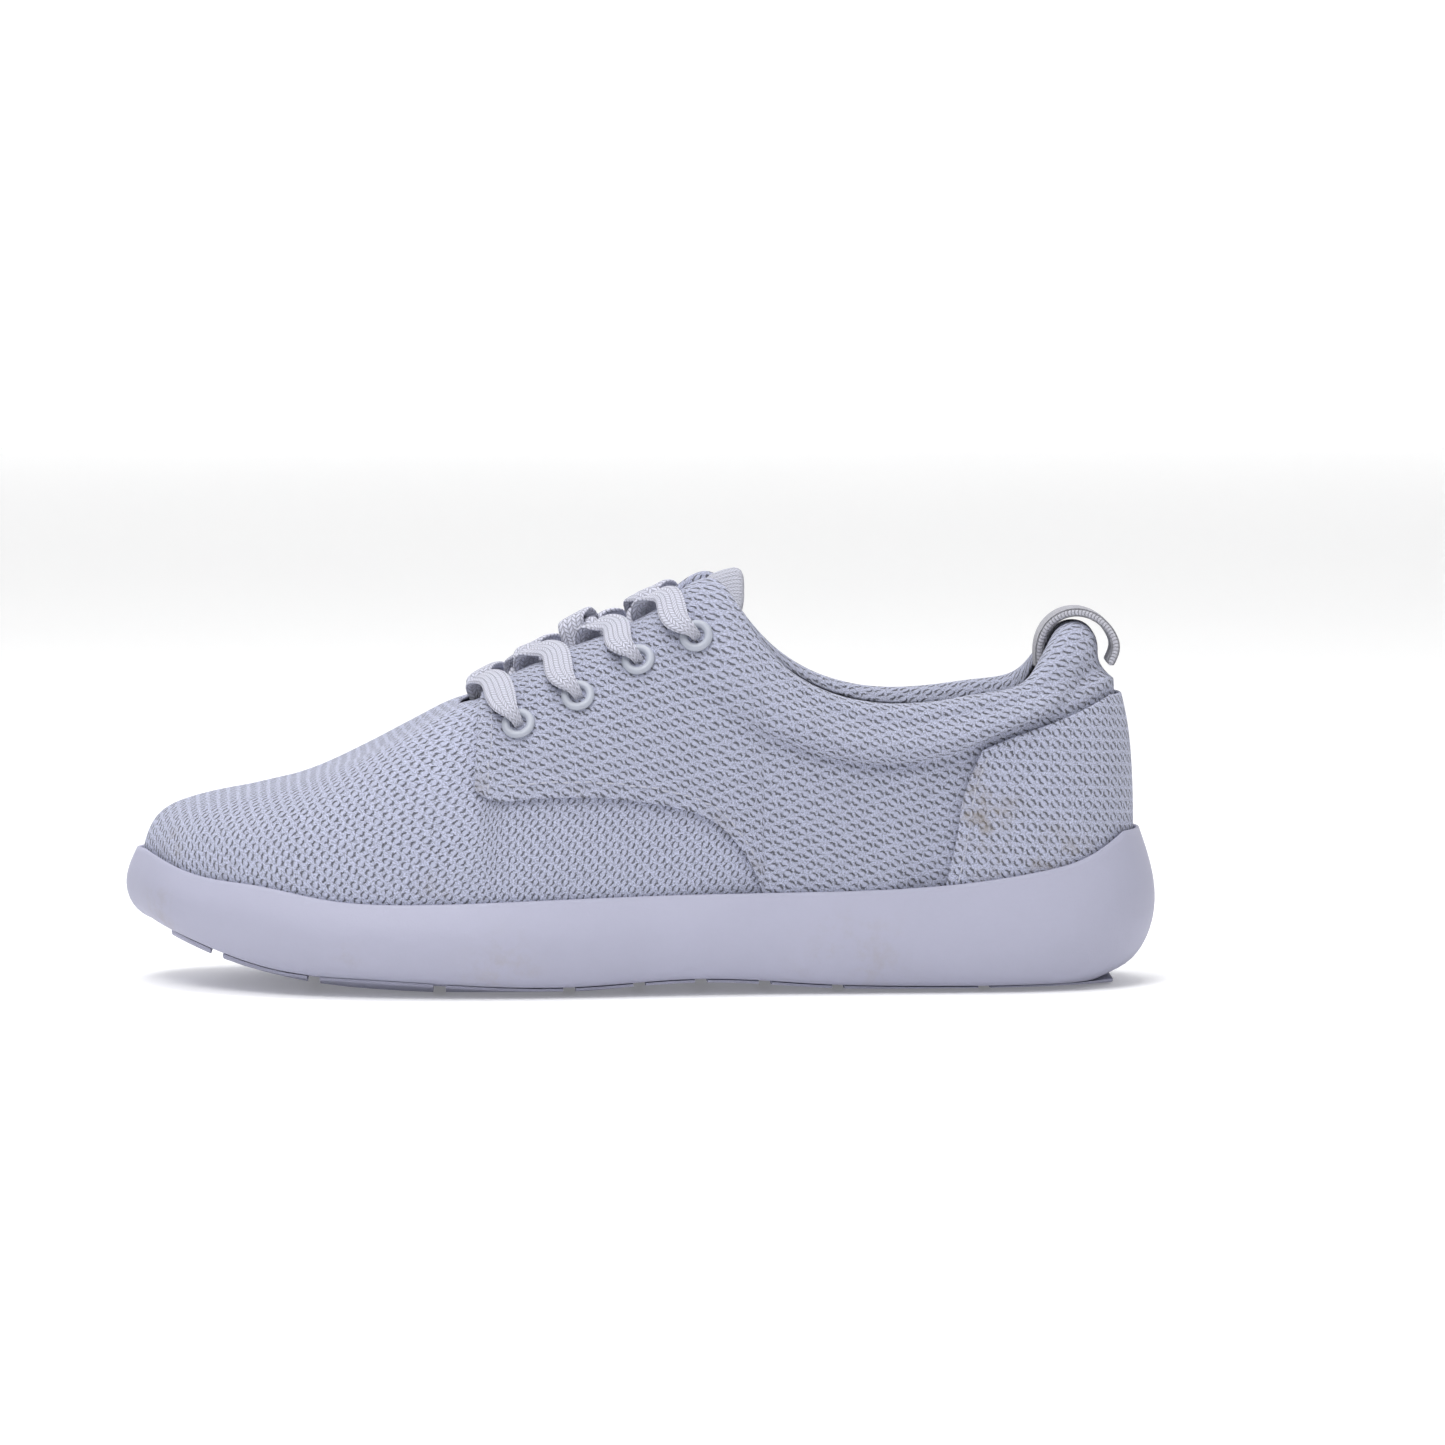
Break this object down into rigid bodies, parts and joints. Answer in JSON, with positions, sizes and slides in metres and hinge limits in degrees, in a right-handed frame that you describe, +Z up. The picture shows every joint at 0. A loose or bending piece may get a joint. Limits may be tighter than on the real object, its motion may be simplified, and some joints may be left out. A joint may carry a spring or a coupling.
{
  "type": "running shoe",
  "caption": "Low lace-up running shoe with a ring-pattern mesh upper, padded collar, heel pull tab and a thick foam sole with a grooved tread.",
  "frame": {"origin": "middle of the bounding box in plan, on the ground under the sole", "axes": "-X is the toe and +X the heel, -Y is the outer (lateral) side of this left shoe, +Z is up"},
  "size_m": [0.298, 0.107, 0.1195],
  "materials": {
    "midsole_foam": "matte moulded foam",
    "outsole_rubber": "matte",
    "board": "stitched board",
    "insole_cloth": "knitted cover over foam",
    "upper_mesh": "open ring-pattern mesh",
    "lining": "fine spacer mesh",
    "stiffener": "thin sheet",
    "padding": "open-cell foam",
    "eyelet_plastic": "smooth matte",
    "lace_cloth": "flat herringbone weave",
    "aglet": "smooth",
    "tab_webbing": "folded woven tape"
  },
  "bodies": {
    "shoe": {"midsole": "midsole_foam", "outsole_pad_3": "outsole_rubber", "outsole_pad_4": "outsole_rubber", "outsole_pad_5": "outsole_rubber", "outsole_pad_6": "outsole_rubber", "outsole_pad_7": "outsole_rubber", "outsole_pad_8": "outsole_rubber", "outsole_pad_9": "outsole_rubber", "outsole_pad_10": "outsole_rubber", "strobel_board": "board", "insole": "insole_cloth", "vamp": "upper_mesh", "vamp_lining": "lining", "eyelet_lateral_1": "eyelet_plastic", "eyelet_lateral_2": "eyelet_plastic", "eyelet_lateral_3": "eyelet_plastic", "eyelet_lateral_4": "eyelet_plastic", "quarter_lateral": "upper_mesh", "quarter_lining_lateral": "lining", "eyestay_lateral": "stiffener", "eyelet_medial_1": "eyelet_plastic", "eyelet_medial_2": "eyelet_plastic", "eyelet_medial_3": "eyelet_plastic", "eyelet_medial_4": "eyelet_plastic", "quarter_medial": "upper_mesh", "quarter_lining_medial": "lining", "eyestay_medial": "stiffener", "heel_panel": "upper_mesh", "heel_counter": "stiffener", "collar_foam": "padding", "lace": "lace_cloth", "aglet_first": "aglet", "aglet_second": "aglet", "pull_tab": "tab_webbing"},
    "forefoot": {"toe_puff": "stiffener", "outsole_pad_1": "outsole_rubber", "outsole_pad_2": "outsole_rubber"},
    "tongue": {"tongue_cover": "upper_mesh", "tongue_foam": "padding", "tongue_lining": "lining"}
  },
  "joints": [
    {"name": "toe_flex", "type": "hinge", "parent": "shoe", "child": "forefoot", "pos_m": [-0.076, 0, 0.02], "axis": [0, 1, 0], "range_deg": [0, 25], "stiffness_Nm_per_rad": 2, "deforming": ["midsole", "strobel_board", "insole", "vamp", "vamp_lining", "outsole_pad_3"]},
    {"name": "tongue_drop", "type": "hinge", "parent": "shoe", "child": "tongue", "pos_m": [-0.05, 0, 0.074], "axis": [0, 1, 0], "range_deg": [0, 10], "stiffness_Nm_per_rad": 0.5}
  ]
}
